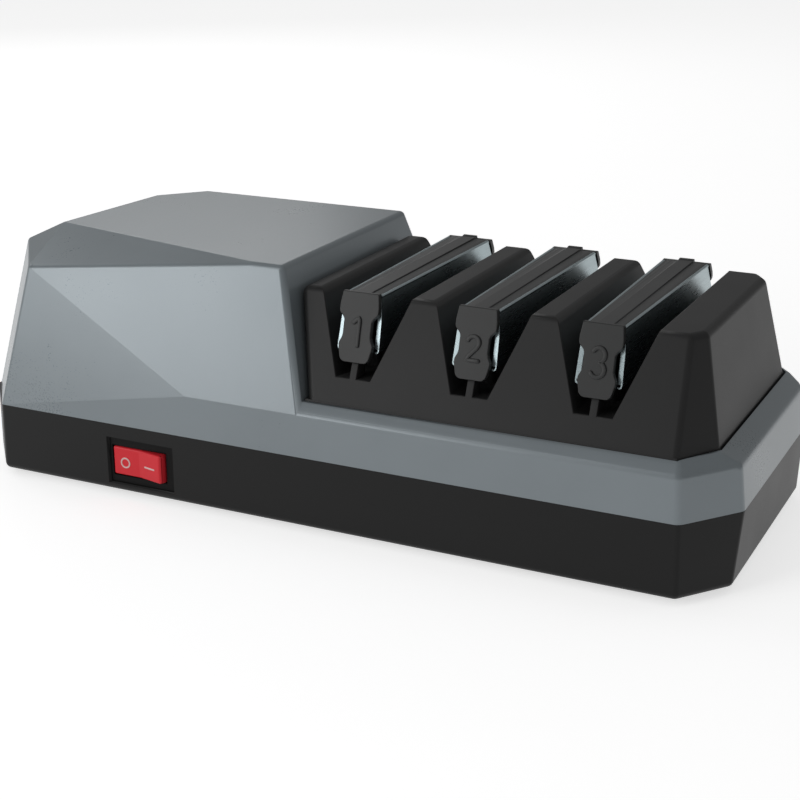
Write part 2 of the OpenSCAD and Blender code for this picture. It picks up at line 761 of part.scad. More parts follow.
module disk_spring(i) color(steel) {
  sides = 6;
  rings = 36;
  l = 2 * pocket_out - 2 * spring_wire - 0.3;
  points = [for (j = [0:rings])
    each helix_ring(360 * spring_turns * j / rings, l, spring_turns, spring_coil_r, spring_wire, sides)];
  skin = [for (j = [0:rings - 1]) for (k = [0:sides - 1])
    let(a = j * sides + k, b = j * sides + (k + 1) % sides)
    each [[a, b, b + sides], [a, b + sides, a + sides]]];
  start = [for (k = [1:sides - 2]) [0, k + 1, k]];
  last = rings * sides;
  end = [for (k = [1:sides - 2]) [last, last + k, last + k + 1]];
  translate([stage_x(i), 0, 0]) polyhedron(points, concat(skin, start, end));
}

// ======== shaft, rotor and fan ========

module arbor_shaft() color(steel) {
  difference() {
    union() {
      rod_x(shaft_x0 + 0.5, shaft_x1 - shaft_x0 - 1, shaft_r);
      rod_x(shaft_x0, shaft_x1 - shaft_x0, shaft_r - 0.5);
    }
    for (i = [0:stages - 1]) for (s = [-1, 1])
      translate([stage_x(i) + s * pin_x, -shaft_r - 1, shaft_z]) rotate([-90, 0, 0])
        cylinder(r = pin_r + close_fit, h = 2 * shaft_r + 2);
  }
}

module rotor() color(steel) {
  difference() {
    union() {
      rod_x(motor_x - core_l / 2, core_l, rotor_r);
      for (s = [-1, 1]) rod_x(motor_x + s * (core_l / 2 + 1.5) - 1.5, 3, rotor_r - 1.2);
    }
    for (s = [-1, 1]) rod_x(motor_x + s * (core_l / 2 + 1.6) - 1.6, 3.2, rotor_r - 6);
    rod_x(motor_x - core_l, 2 * core_l, shaft_r + close_fit);
    for (k = [0:15]) translate([0, 0, shaft_z]) rotate([22.5 * k, 0, 0])
      box(motor_x - core_l / 2 - 4, motor_x + core_l / 2 + 4, -0.6, 0.6, rotor_r - 0.8, rotor_r + 1);
  }
}

module cooling_fan() color(nylon) {
  blades = 9;
  fan_x = shaft_x0 + 1;
  fan_w = 10;
  difference() {
    union() {
      rod_x(fan_x, fan_w, 6.5);
      rod_x(fan_x + fan_w - 1.5, 1.5, fan_r - 6);
      for (k = [0:blades - 1]) translate([fan_x + fan_w / 2, 0, shaft_z])
        rotate([360 * k / blades, 0, 0]) fan_blade(fan_w);
    }
    rod_x(fan_x - 1, fan_w + 2, shaft_r + close_fit);
  }
}

module fan_blade(fan_w) {
  intersection() {
    rotate([0, 0, 28]) translate([-fan_w, -0.6, 5]) cube([2 * fan_w, 1.2, fan_r]);
    rotate([0, 90, 0]) translate([0, 0, 0.4 - fan_w / 2]) cylinder(r = fan_r, h = fan_w - 1.1);
  }
}

// ======== motor ========

module stator_core() color(zinc) {
  along_x(motor_x - core_l / 2, core_l) difference() {
    translate([-core_half, core_low]) square([2 * core_half, core_high - core_low]);
    translate([0, shaft_z]) circle(r = rotor_r + 0.5);
    window_outline();
    for (s = [-1, 1]) translate([s * bolt_y, shaft_z]) circle(r = bolt_r + close_fit);
    for (s = [-1, 1]) translate([s * core_half, core_low]) rotate(45) square(6, center = true);
    // shading notches and the narrow bridges beside the rotor
    for (s = [-1, 1]) translate([0, shaft_z + s * (rotor_r + 0.5)]) square([2, 6], center = true);
  }
}

module window_outline() {
  low = shaft_z + rotor_r + 4;
  translate([-window_half, low]) square([2 * window_half, core_high - bar_t - low]);
}

// Bobbin tube round the core's top bar, with two flanges
module coil_bobbin() color(nylon) {
  difference() {
    union() {
      bobbin_sleeve(1.2, 2 * window_half - 1.6);
      for (s = [-1, 1]) translate([0, s * (window_half - 1.5), 0]) bobbin_sleeve(6, 1.4);
    }
    bobbin_sleeve(0.15, body_d);
  }
}

// Block round the core's top bar, grown by g; l is its length along Y
module bobbin_sleeve(g, l) {
  box(motor_x - core_l / 2 - g, motor_x + core_l / 2 + g, -l / 2, l / 2,
    core_high - bar_t - g, core_high + g);
}

module coil_winding() color(copper) {
  g = 4.6;
  along_y(2.4 - window_half, 2 * window_half - 4.8) difference() {
    translate([motor_x - core_l / 2 - 1.3, core_high - bar_t - 1.3]) rounded_rect(
      core_l + 2.6, bar_t + 2.6, g);
    translate([motor_x - core_l / 2 - 1.3, core_high - bar_t - 1.3])
      square([core_l + 2.6, bar_t + 2.6]);
  }
}

// Rectangle grown by r with round corners
module rounded_rect(w, h, r) {
  translate([-r, 0]) square([w + 2 * r, h]);
  translate([0, -r]) square([w, h + 2 * r]);
  for (x = [0, w]) for (y = [0, h]) translate([x, y]) circle(r = r);
}

// Cast bracket that carries a bush; side is -1 at the fan end, 1 at the drive end
module motor_bracket(side) color(zinc) {
  x0 = core_l / 2 + 7;
  foot_out = bracket_out + 10;
  translate([motor_x, 0, 0]) scale([side, 1, 1]) difference() {
    union() {
      along_x(x0, 3) bracket_outline();
      rod_x(x0 - 2, bush_l + 2, bush_r + 3);
      for (y = [-1, 1]) rod_x(core_l / 2, 10, 4.5, y * bolt_y);
      box(x0, foot_out, -foot_y - 6, foot_y + 6, foot_plate_z, foot_plate_z + 2.5);
    }
    rod_x(0, x0 + bush_l + 5, bush_r + close_fit);
    for (y = [-1, 1]) rod_x(0, x0 + 10, bolt_r + close_fit, y * bolt_y);
    for (y = [-1, 1]) post([foot_x, y * foot_y], foot_plate_z - 1, foot_plate_z + 4,
      screw_r + 0.3);
  }
}

module bracket_outline() {
  difference() {
    union() {
      translate([-bolt_y - 4.5, shaft_z - 5.5]) square([2 * bolt_y + 9, 11]);
      polygon([[-foot_y - 6, foot_plate_z], [foot_y + 6, foot_plate_z], [foot_y - 1, shaft_z],
        [1 - foot_y, shaft_z]]);
      translate([0, shaft_z]) circle(r = 12);
    }
    for (s = [-1, 1]) translate([s * foot_y * 2 / 3, (foot_plate_z + shaft_z) / 2]) circle(r = 4);
  }
}

module bush(x) color(bronze) {
  difference() {
    rod_x(x - bush_l / 2, bush_l, bush_r);
    rod_x(x - bush_l, 2 * bush_l, shaft_r + run_fit);
  }
}

module motor_bolts() color(steel) {
  x0 = motor_x - core_l / 2 - 10;
  x1 = motor_x + core_l / 2 + 10;
  for (s = [-1, 1]) {
    rod_x(x0, x1 - x0 + 4.5, bolt_r, s * bolt_y);
    rod_x(x0 - 2.6, 2.6, 3.6, s * bolt_y);
    translate([x1, s * bolt_y, shaft_z]) rotate([0, 90, 0]) difference() {
      cylinder(r = 4, h = 3.2, $fn = 6);
      translate([0, 0, -1]) cylinder(r = bolt_r - 0.5, h = 2);
    }
  }
}

module end_bearing_holder() color(zinc) {
  difference() {
    union() {
      along_x(holder_x - 3, 6) union() {
        translate([0, shaft_z]) circle(r = bush_r + 3);
        polygon([[-12, foot_plate_z], [12, foot_plate_z], [bush_r + 2.8, shaft_z],
          [-bush_r - 2.8, shaft_z]]);
      }
      box(holder_x - 5, holder_x + 5, -20.5, 20.5, foot_plate_z, foot_plate_z + 2.5);
    }
    rod_x(holder_x - 5, 10, bush_r + close_fit);
    for (y = [-1, 1]) post([holder_x, y * 16], foot_plate_z - 1, foot_plate_z + 4, screw_r + 0.3);
  }
}

// ======== switch and inlet ========

module switch_plate() color(base_black) {
  y0 = front_y + plate_recess;
  difference() {
    union() {
      box(switch_x - plate_w / 2 + 0.2, switch_x + plate_w / 2 - 0.2, y0, y0 + 1.5,
        switch_z - plate_h / 2 + 0.2, switch_z + plate_h / 2 - 0.2);
      box(switch_x - plate_w / 2 + 0.8, switch_x + plate_w / 2 - 0.8, y0, y0 + switch_depth,
        switch_z - plate_h / 2 + 1.2, switch_z + plate_h / 2 - 1.2);
    }
    translate([rocker_x, rocker_pivot_y, rocker_z - rocker_h / 2 - 0.25])
      linear_extrude(rocker_h + 0.5) intersection() {
        circle(r = rocker_r + 0.25, $fn = 96);
        translate([-rocker_half - 0.25, -rocker_r]) square([2 * rocker_r + 1, 1.7 * rocker_r]);
      }
  }
}

// Rocker with a shallow fold, drawn with its left half pressed in
module switch_rocker() color(red) {
  translate([rocker_x, rocker_pivot_y, rocker_z - rocker_h / 2]) linear_extrude(rocker_h)
    intersection() {
      circle(r = rocker_r, $fn = 96);
      polygon([[-rocker_half, -rocker_face], [0, -rocker_face],
        [rocker_half, -rocker_face - rocker_half * tan(rocker_swing)], [rocker_half, -1.6],
        [3.2, 3.2], [-3.2, 3.2], [-rocker_half, 0]]);
    }
}

module switch_terminals() color(bronze) {
  y0 = front_y + plate_recess + switch_depth;
  for (k = [-1:1]) difference() {
    box(switch_x + 7 * k - 0.4, switch_x + 7 * k + 0.4, y0, y0 + terminal_l,
      switch_z - 3.1, switch_z + 3.1);
    translate([switch_x + 7 * k - 1, y0 + 0.6 * terminal_l, switch_z]) rotate([0, 90, 0])
      cylinder(r = 0.9, h = 2);
  }
}

module terminal_block() color(nylon) {
  x0 = motor_x - 8;
  y0 = rear_y - 18;
  difference() {
    union() {
      box(x0, x0 + 24, y0, y0 + 12, floor_top, floor_top + 8);
      for (k = [0:2]) box(x0 + 1 + 8 * k, x0 + 7 + 8 * k, y0 + 2, y0 + 10, floor_top, floor_top + 12);
    }
    for (k = [0:2]) {
      post([x0 + 4 + 8 * k, y0 + 6], floor_top + 5, floor_top + 13, 1.8);
      translate([x0 + 4 + 8 * k, y0 - 1, floor_top + 4.5]) rotate([-90, 0, 0])
        cylinder(r = 1.6, h = 14);
    }
  }
}

// Rubber bush that lines the mains cord's way in
module cord_grommet() color(rubber_black) {
  translate([grommet_x, rear_y, grommet_z]) rotate([-90, 0, 0]) difference() {
    union() {
      translate([0, 0, -wall]) cylinder(r = cord_r + 1.95, h = wall);
      cylinder(r = cord_r + 3.4, h = 0.7);
      translate([0, 0, -wall - 1.5]) cylinder(r = cord_r + 3, h = 1.5);
    }
    translate([0, 0, -wall - 2]) cylinder(r = cord_r, h = wall + 4);
  }
}

module rubber_feet() color(rubber_black) {
  for (p = foot_spots) translate([p[0], p[1], 0]) rotate_extrude()
    polygon([[0, 0], [foot_r - 1, 0], [foot_r, 1], [foot_r, foot_h + foot_recess],
      [0, foot_h + foot_recess]]);
}

// ======== screws ========

module case_screws() color(steel) {
  for (p = concat(cover_screws, guide_screws)) {
    post(p, screw_seat_z - 2.2, screw_seat_z, screw_head_r);
    post(p, screw_seat_z - eps, screw_tip_z, screw_r);
  }
}

module short_screws() color(steel) {
  spots = concat(
    [for (s = [-1, 1]) for (y = [-1, 1]) [motor_x + s * foot_x, y * foot_y]],
    [for (y = [-1, 1]) [holder_x, y * 16]]);
  for (p = spots) {
    post(p, foot_plate_z + 2.5, foot_plate_z + 4.7, screw_head_r - 0.4);
    post(p, foot_plate_z - 4.5, foot_plate_z + 2.5 + eps, screw_r);
  }
}

// ======== one module per repeated piece ========

module saddle_1() saddle(0);
module saddle_2() saddle(1);
module saddle_3() saddle(2);
module guide_spring_1_left() guide_spring(0, -1);
module guide_spring_1_right() guide_spring(0, 1);
module guide_spring_2_left() guide_spring(1, -1);
module guide_spring_2_right() guide_spring(1, 1);
module guide_spring_3_left() guide_spring(2, -1);
module guide_spring_3_right() guide_spring(2, 1);
module coarse_disk_left() grinding_disk(0, -1, grit);
module coarse_disk_right() grinding_disk(0, 1, grit);
module fine_disk_left() grinding_disk(1, -1, grit);
module fine_disk_right() grinding_disk(1, 1, grit);
module polish_disk_left() grinding_disk(2, -1, grit);
module polish_disk_right() grinding_disk(2, 1, grit);
module disk_spring_1() disk_spring(0);
module disk_spring_2() disk_spring(1);
module disk_spring_3() disk_spring(2);
module fan_end_bracket() motor_bracket(-1);
module drive_end_bracket() motor_bracket(1);
module fan_end_bush() bush(motor_x - core_l / 2 - 9 - bush_l / 2 + 4);
module drive_end_bush() bush(motor_x + core_l / 2 + 9 + bush_l / 2 - 4);
module end_bearing_bush() bush(holder_x);

base_housing();
top_cover();
guide_block();
saddle_1();
saddle_2();
saddle_3();
guide_spring_1_left();
guide_spring_1_right();
guide_spring_2_left();
guide_spring_2_right();
guide_spring_3_left();
guide_spring_3_right();
coarse_disk_left();
coarse_disk_right();
fine_disk_left();
fine_disk_right();
polish_disk_left();
polish_disk_right();
disk_spring_1();
disk_spring_2();
disk_spring_3();
drive_pins();
arbor_shaft();
rotor();
cooling_fan();
stator_core();
coil_bobbin();
coil_winding();
fan_end_bracket();
drive_end_bracket();
fan_end_bush();
drive_end_bush();
end_bearing_holder();
end_bearing_bush();
motor_bolts();
switch_plate();
switch_rocker();
switch_terminals();
terminal_block();
cord_grommet();
rubber_feet();
case_screws();
short_screws();
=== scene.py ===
# Looks of the three-stage knife sharpener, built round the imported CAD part
import math
from itertools import combinations

import bmesh
import bpy
import numpy as np
from mathutils import Matrix, Vector
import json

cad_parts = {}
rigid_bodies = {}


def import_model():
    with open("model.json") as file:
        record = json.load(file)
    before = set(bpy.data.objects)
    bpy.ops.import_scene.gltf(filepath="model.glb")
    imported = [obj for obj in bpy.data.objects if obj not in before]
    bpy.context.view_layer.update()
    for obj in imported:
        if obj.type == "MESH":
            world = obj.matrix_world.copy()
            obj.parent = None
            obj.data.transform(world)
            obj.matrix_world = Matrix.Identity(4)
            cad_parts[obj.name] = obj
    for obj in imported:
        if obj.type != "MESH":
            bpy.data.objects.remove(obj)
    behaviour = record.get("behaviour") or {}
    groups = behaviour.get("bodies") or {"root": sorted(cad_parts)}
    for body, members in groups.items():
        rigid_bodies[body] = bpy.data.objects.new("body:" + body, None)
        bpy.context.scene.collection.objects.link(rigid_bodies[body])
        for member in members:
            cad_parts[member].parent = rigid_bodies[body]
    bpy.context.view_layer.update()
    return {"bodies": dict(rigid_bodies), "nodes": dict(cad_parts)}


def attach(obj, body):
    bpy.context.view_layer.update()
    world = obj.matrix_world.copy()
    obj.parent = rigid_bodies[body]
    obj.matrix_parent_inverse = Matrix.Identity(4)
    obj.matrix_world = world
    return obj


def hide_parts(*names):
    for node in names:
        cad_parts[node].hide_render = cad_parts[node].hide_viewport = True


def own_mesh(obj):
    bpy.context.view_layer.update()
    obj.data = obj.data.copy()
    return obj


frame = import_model()
mm = 0.001
print("frame loaded:", len(frame["nodes"]), "nodes")


# ---- shader helpers

class Sock:
    # A node's output that can stand in arithmetic, where each step adds a Math node
    def __init__(self, look, output):
        self.look = look
        self.output = output

    def joined(self, operation, first, second):
        return self.look.node("Math", {"operation": operation}, {0: first, 1: second})

    def __add__(self, other):
        return self.joined("ADD", self, other)

    def __radd__(self, other):
        return self.joined("ADD", other, self)

    def __sub__(self, other):
        return self.joined("SUBTRACT", self, other)

    def __rsub__(self, other):
        return self.joined("SUBTRACT", other, self)

    def __mul__(self, other):
        return self.joined("MULTIPLY", self, other)

    def __rmul__(self, other):
        return self.joined("MULTIPLY", other, self)


class Look:
    # A material with its node tree; uniform values go straight onto the shader
    def __init__(self, name, **uniform):
        self.material = bpy.data.materials.new(name)
        self.material.use_nodes = True
        self.tree = self.material.node_tree
        self.shader = self.tree.nodes["Principled BSDF"]
        self.set(**uniform)

    def feed(self, socket, value):
        # Links an output or sets a value; a colour without alpha gets one
        if isinstance(value, Sock):
            self.tree.links.new(value.output, socket)
        elif isinstance(value, tuple):
            missing = len(socket.default_value) - len(value)
            socket.default_value = value + (1.0,) * missing
        else:
            socket.default_value = value

    def set(self, **values):
        # baseColor is the shader's Base Color, specularIORLevel its Specular IOR Level
        for name, value in values.items():
            words = "".join(" " + c if c.isupper() else c for c in name)
            words = words.replace("I O R", "IOR")
            self.feed(self.shader.inputs[words[0].upper() + words[1:]], value)
        return self

    def node(self, kind, settings=None, inputs=None, output=0):
        # Adds a node: its settings first, then the values or links of its sockets
        node = self.tree.nodes.new("ShaderNode" + kind)
        for name, value in (settings or {}).items():
            setattr(node, name, value)
        for name, value in (inputs or {}).items():
            self.feed(node.inputs[name], value)
        return Sock(self, node.outputs[output])

    def place(self, scale=(1, 1, 1)):
        # Position on the part in millimetres, stretched by scale
        spot = self.node("TexCoord", output="Object")
        return self.node("VectorMath", {"operation": "MULTIPLY"},
                         {0: spot, 1: tuple(s / mm for s in scale)})

    def noise(self, size, detail=2.0, rough=0.5, scale=(1, 1, 1)):
        return self.node("TexNoise", {"noise_dimensions": "3D"},
                         {"Vector": self.place(scale), "Scale": 1 / size, "Detail": detail,
                          "Roughness": rough})

    def ramp(self, value, low, high):
        # Zero below low, one above high
        return self.node("MapRange", {"clamp": True},
                         {"Value": value, "From Min": low, "From Max": high})

    def mix(self, factor, first, second):
        # In the Mix node's colour form, inputs 6 and 7 and output 2 are the colours
        return self.node("Mix", {"data_type": "RGBA"}, {0: factor, 6: first, 7: second},
                         output=2)

    def bump(self, height, strength, depth, under=None):
        inputs = {"Height": height, "Strength": strength, "Distance": depth * mm}
        if under:
            inputs["Normal"] = under
        return self.node("Bump", None, inputs)


# ---- surfaces, with sizes in millimetres

def shade(color, factor):
    return tuple(c * factor for c in color)


moulded = {"metal": 0.0, "specular": 0.5, "cloud": 35, "cloudSpan": (0.35, 0.68),
           "dark": 0.965, "light": 1.03, "roughClouds": 0.12, "roughGrain": 0.08,
           "grainDepth": 0.03, "wave": 60, "waveStrength": 0.04, "waveDepth": 1.0}


def plastic(name, own):
    # Faint clouds of tone, a fine grain and a slight wave in the surface
    s = {**moulded, **own}
    look = Look(name, specularIORLevel=s["specular"], metallic=s["metal"])
    cloud = look.noise(s["cloud"], 3)
    fine = look.noise(s["grain"], 2, 0.6)
    color = look.mix(look.ramp(cloud, *s["cloudSpan"]),
                     shade(s["color"], s["dark"]), shade(s["color"], s["light"]))
    rough = s["rough"] + (cloud - 0.5) * s["roughClouds"] + (fine - 0.5) * s["roughGrain"]
    grain = look.bump(fine, s["grit"], s["grainDepth"])
    wave = look.bump(look.noise(s["wave"], 1), s["waveStrength"], s["waveDepth"], grain)
    return look.set(baseColor=color, roughness=rough, normal=wave).material


coverLook = plastic("coverPlastic", {
    "color": (0.235, 0.268, 0.288), "rough": 0.30, "metal": 0.25, "grain": 0.6,
    "grit": 0.015, "waveStrength": 0.008})
baseLook = plastic("basePlastic", {
    "color": (0.0085, 0.0085, 0.0086), "rough": 0.42, "specular": 0.22, "grain": 0.35,
    "grit": 0.18})
guideLook = plastic("guidePlastic", {
    "color": (0.023, 0.023, 0.0232), "rough": 0.45, "specular": 0.25, "grain": 0.35,
    "grit": 0.18})
saddleLook = plastic("saddlePlastic", {
    "color": (0.026, 0.027, 0.027), "rough": 0.42, "specular": 0.4, "grain": 0.3,
    "grit": 0.14})
plateLook = plastic("switchPlastic", {
    "color": (0.004, 0.004, 0.004), "rough": 0.45, "specular": 0.12, "grain": 0.3,
    "grit": 0.08})
redLook = plastic("rockerPlastic", {
    "color": (0.86, 0.03, 0.045), "rough": 0.35, "specular": 0.3, "grain": 0.5,
    "grit": 0.05})
markLook = plastic("markPaint", {
    "color": (0.90, 0.62, 0.60), "rough": 0.45, "grain": 0.2, "grit": 0.1})
rubberLook = plastic("footRubber", {
    "color": (0.018, 0.018, 0.018), "rough": 0.75, "grain": 0.25, "grit": 0.35})
nylonLook = plastic("nylon", {
    "color": (0.72, 0.70, 0.62), "rough": 0.45, "grain": 0.4, "grit": 0.1})

drawn = {"along": (0.02, 1, 1), "cloud": 12, "cloudSpan": (0.3, 0.7), "dark": 0.9,
         "roughStreaks": 0.16, "roughClouds": 0.08, "streakDepth": 0.02}


def metal(name, own):
    # Bare metal with streaks, long in the direction whose stretch is small
    s = {**drawn, **own}
    look = Look(name, metallic=1.0)
    streak = look.noise(s["streak"], 3, 0.6, s["along"])
    cloud = look.noise(s["cloud"], 3)
    color = look.mix(look.ramp(cloud, *s["cloudSpan"]), shade(s["color"], s["dark"]),
                     s["color"])
    rough = (s["rough"] + (streak - 0.5) * s["roughStreaks"]
             + (cloud - 0.5) * s["roughClouds"])
    bump = look.bump(streak, s["grit"], s["streakDepth"])
    return look.set(baseColor=color, roughness=rough, normal=bump).material


leafLook = metal("springSteel", {
    "color": (0.36, 0.43, 0.45), "rough": 0.29, "streak": 0.35, "grit": 0.08,
    "along": (1, 0.03, 1)})
steelLook = metal("turnedSteel", {
    "color": (0.62, 0.63, 0.64), "rough": 0.28, "streak": 0.2, "grit": 0.2})
zincLook = metal("castZinc", {
    "color": (0.50, 0.50, 0.49), "rough": 0.5, "streak": 0.5, "grit": 0.5,
    "along": (1, 1, 1)})
bronzeLook = metal("bronze", {
    "color": (0.50, 0.33, 0.16), "rough": 0.35, "streak": 0.3, "grit": 0.3})
brassLook = metal("tabBrass", {
    "color": (0.72, 0.56, 0.26), "rough": 0.25, "streak": 0.3, "grit": 0.2})

# At scale 1 the Wave texture's bands repeat after "period"
ribbed = {"period": 0.314, "distortion": 0.6, "detail": 1.0, "detailScale": 0.4,
          "grooveSpan": (0.0, 0.5), "cloud": 6, "roughClouds": 0.2, "strength": 0.6,
          "depth": 0.15}


def stripes(name, own):
    # Metal in fine ribs with dark grooves, such as stacked sheets or turns of wire
    s = {**ribbed, **own}
    look = Look(name, metallic=1.0)
    wave = look.node("TexWave", {"wave_type": "BANDS", "bands_direction": s["axis"]},
                     {"Vector": look.place(), "Scale": s["period"] / s["pitch"],
                      "Distortion": s["distortion"], "Detail": s["detail"],
                      "Detail Scale": s["detailScale"]}, output=1)
    cloud = look.noise(s["cloud"], 3)
    return look.set(
        baseColor=look.mix(look.ramp(wave, *s["grooveSpan"]), s["dark"], s["color"]),
        roughness=s["rough"] + (cloud - 0.5) * s["roughClouds"],
        normal=look.bump(wave, s["strength"], s["depth"])).material


coreLook = stripes("laminations", {
    "color": (0.33, 0.34, 0.36), "dark": (0.12, 0.12, 0.13), "pitch": 0.8, "axis": "X",
    "rough": 0.42})
wireLook = stripes("copperWire", {
    "color": (0.60, 0.22, 0.08), "dark": (0.20, 0.06, 0.02), "pitch": 0.55, "axis": "Y",
    "rough": 0.3})

coated = {"cloud": 5, "cloudSpan": (0.3, 0.7), "dark": 0.7, "grainSpan": (0.1, 0.6),
          "between": 0.5, "rough": 0.7, "roughClouds": 0.2, "strength": 0.8, "depth": 0.1}


def abrasive(name, color, grain):
    # Packed grains, darker between them and in clouds
    s = coated
    look = Look(name)
    grains = look.node("TexVoronoi", {"feature": "F1"},
                       {"Vector": look.place(), "Scale": 1 / grain})
    cloud = look.noise(s["cloud"], 4)
    tone = look.mix(look.ramp(cloud, *s["cloudSpan"]), shade(color, s["dark"]), color)
    return look.set(
        baseColor=look.mix(look.ramp(grains, *s["grainSpan"]), tone,
                           shade(color, s["between"])),
        roughness=s["rough"] + (cloud - 0.5) * s["roughClouds"],
        normal=look.bump(grains, s["strength"], s["depth"])).material


coarseLook = abrasive("coarseGrit", (0.30, 0.27, 0.20), 0.35)
fineLook = abrasive("fineGrit", (0.36, 0.34, 0.27), 0.22)
polishLook = abrasive("polishGrit", (0.62, 0.55, 0.40), 0.18)
print("surfaces made")


# ---- mesh helpers

weldGap = {"node": 0.003, "form": 0.002}  # millimetres
flatAngle = {"node": 0.4, "form": 0.15}  # degrees


def cadData(node):
    return frame["nodes"][node].data


def welded(mesh, use):
    bm = bmesh.new()
    bm.from_mesh(mesh)
    bmesh.ops.remove_doubles(bm, verts=bm.verts, dist=weldGap[use] * mm)
    return bm


def flattened(mesh, use):
    # The mesh's triangles, joined up again into flat polygons
    bm = welded(mesh, use)
    bmesh.ops.dissolve_limit(bm, angle_limit=math.radians(flatAngle[use]), verts=bm.verts,
                             edges=bm.edges)
    return bm


def meshOf(bm, name):
    mesh = bpy.data.meshes.new(name)
    bm.to_mesh(mesh)
    bm.free()
    return mesh


def bodyOf(node):
    for name, body in frame["bodies"].items():
        if frame["nodes"][node].parent == body:
            return name
    return None


def shownAs(bm, name, look, smoothAngle=24):
    mesh = meshOf(bm, name)
    mesh.shade_smooth()
    mesh.set_sharp_from_angle(angle=math.radians(smoothAngle))
    mesh.materials.append(look)
    piece = bpy.data.objects.new(name, mesh)
    bpy.context.scene.collection.objects.link(piece)
    return piece


def rounding(piece, width, segments, clamp):
    bevel = piece.modifiers.new("rounding", "BEVEL")
    bevel.width = width * mm
    bevel.segments = segments
    bevel.use_clamp_overlap = clamp
    bevel.harden_normals = True
    return bevel


def skin(node, look, rule, segments=3, mesh=None):
    # A moulded look for a CAD node: rule says how wide each edge is rounded, in millimetres
    bm = flattened(mesh or cadData(node), "node")
    weight = bm.edges.layers.float.new("bevel_weight_edge")
    widths = {}
    for edge in bm.edges:
        if len(edge.link_faces) != 2:
            continue
        angle = math.degrees(edge.calc_face_angle_signed(0.0))
        start, stop = (v.co / mm for v in edge.verts)
        width = rule((start + stop) / 2, stop - start, angle)
        if width > 0:
            widths[edge] = width
    widest = max(widths.values(), default=0)
    for edge, width in widths.items():
        edge[weight] = width / widest
    piece = shownAs(bm, node + "_look", look)
    if widths:
        rounding(piece, widest, segments, False).limit_method = "WEIGHT"
    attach(piece, bodyOf(node))
    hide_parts(node)


def paint(node, look, width, least=30):
    # Keeps the CAD node itself, with its material and a small rounding of its sharp edges
    piece = frame["nodes"][node]
    piece.data.materials.clear()
    piece.data.materials.append(look)
    if width:
        weld = piece.modifiers.new("weld", "WELD")
        weld.merge_threshold = weldGap["node"] * mm
        bevel = rounding(piece, width, 2, True)
        bevel.limit_method = "ANGLE"
        bevel.angle_limit = math.radians(least)


def even(width, least=20):
    # Rounds every outward edge by the same width, apart from short ones
    return lambda mid, run, angle: width if angle > least and run.length > 2.2 * width else 0


# ---- rounded convex forms

tiny = 1e-6
arcStep = {"angle": 11, "least": 2, "most": 6}  # degrees for one step of a rounding


def plane(a, b, c, inside):
    # Plane through three points, as its outward normal and its distance
    a, b, c = (np.array(p, float) for p in (a, b, c))
    normal = np.cross(b - a, c - a)
    normal /= np.linalg.norm(normal)
    if normal @ (np.array(inside, float) - a) > 0:
        normal = -normal
    return normal, normal @ a


def facing(x, y, z, distance):
    # Plane square to an axis, from its outward direction
    return np.array((x, y, z), float), distance


def slopeAlongX(first, second, inside):
    # Plane through two lines along X, each given by its Y and Z
    return plane((0, *first), (1, *first), (0, *second), inside)


def slopeAlongY(first, second, inside):
    # Plane through two lines along Y, each given by its X and Z
    (x1, z1), (x2, z2) = first, second
    return plane((x1, 0, z1), (x1, 1, z1), (x2, 0, z2), inside)


def flipped(p):
    return (p[0], -p[1], p[2])


def mirrored(planes):
    return [(n * (1, -1, 1), d) for n, d in planes]


def angleOf(a, b):
    return math.acos(max(-1.0, min(1.0, float(a @ b))))


def slerp(a, b, t):
    angle = angleOf(a, b)
    if angle < tiny:
        return a
    return (math.sin((1 - t) * angle) * a + math.sin(t * angle) * b) / math.sin(angle)


def coreOf(planes, near=0.05):
    # Corners inside all the planes, and the loop of corners on each plane
    corners = []
    for trio in combinations(range(len(planes)), 3):
        rows = np.array([planes[i][0] for i in trio])
        if abs(np.linalg.det(rows)) < tiny:
            continue
        spot = np.linalg.solve(rows, [planes[i][1] for i in trio])
        if any(n @ spot > d + tiny for n, d in planes):
            continue
        for corner in corners:
            if np.linalg.norm(corner["spot"] - spot) < near:
                corner["planes"] |= set(trio)
                break
        else:
            corners.append({"spot": spot, "planes": set(trio)})
    loops = {}
    for i, (n, d) in enumerate(planes):
        on = [k for k, corner in enumerate(corners) if i in corner["planes"]]
        if len(on) < 3:
            continue
        middle = sum(corners[k]["spot"] for k in on) / len(on)
        across = corners[on[0]]["spot"] - middle
        across -= n * (n @ across)
        up = np.cross(n, across)
        on.sort(key=lambda k: math.atan2((corners[k]["spot"] - middle) @ up,
                                         (corners[k]["spot"] - middle) @ across))
        loops[i] = on
    return [corner["spot"] for corner in corners], loops


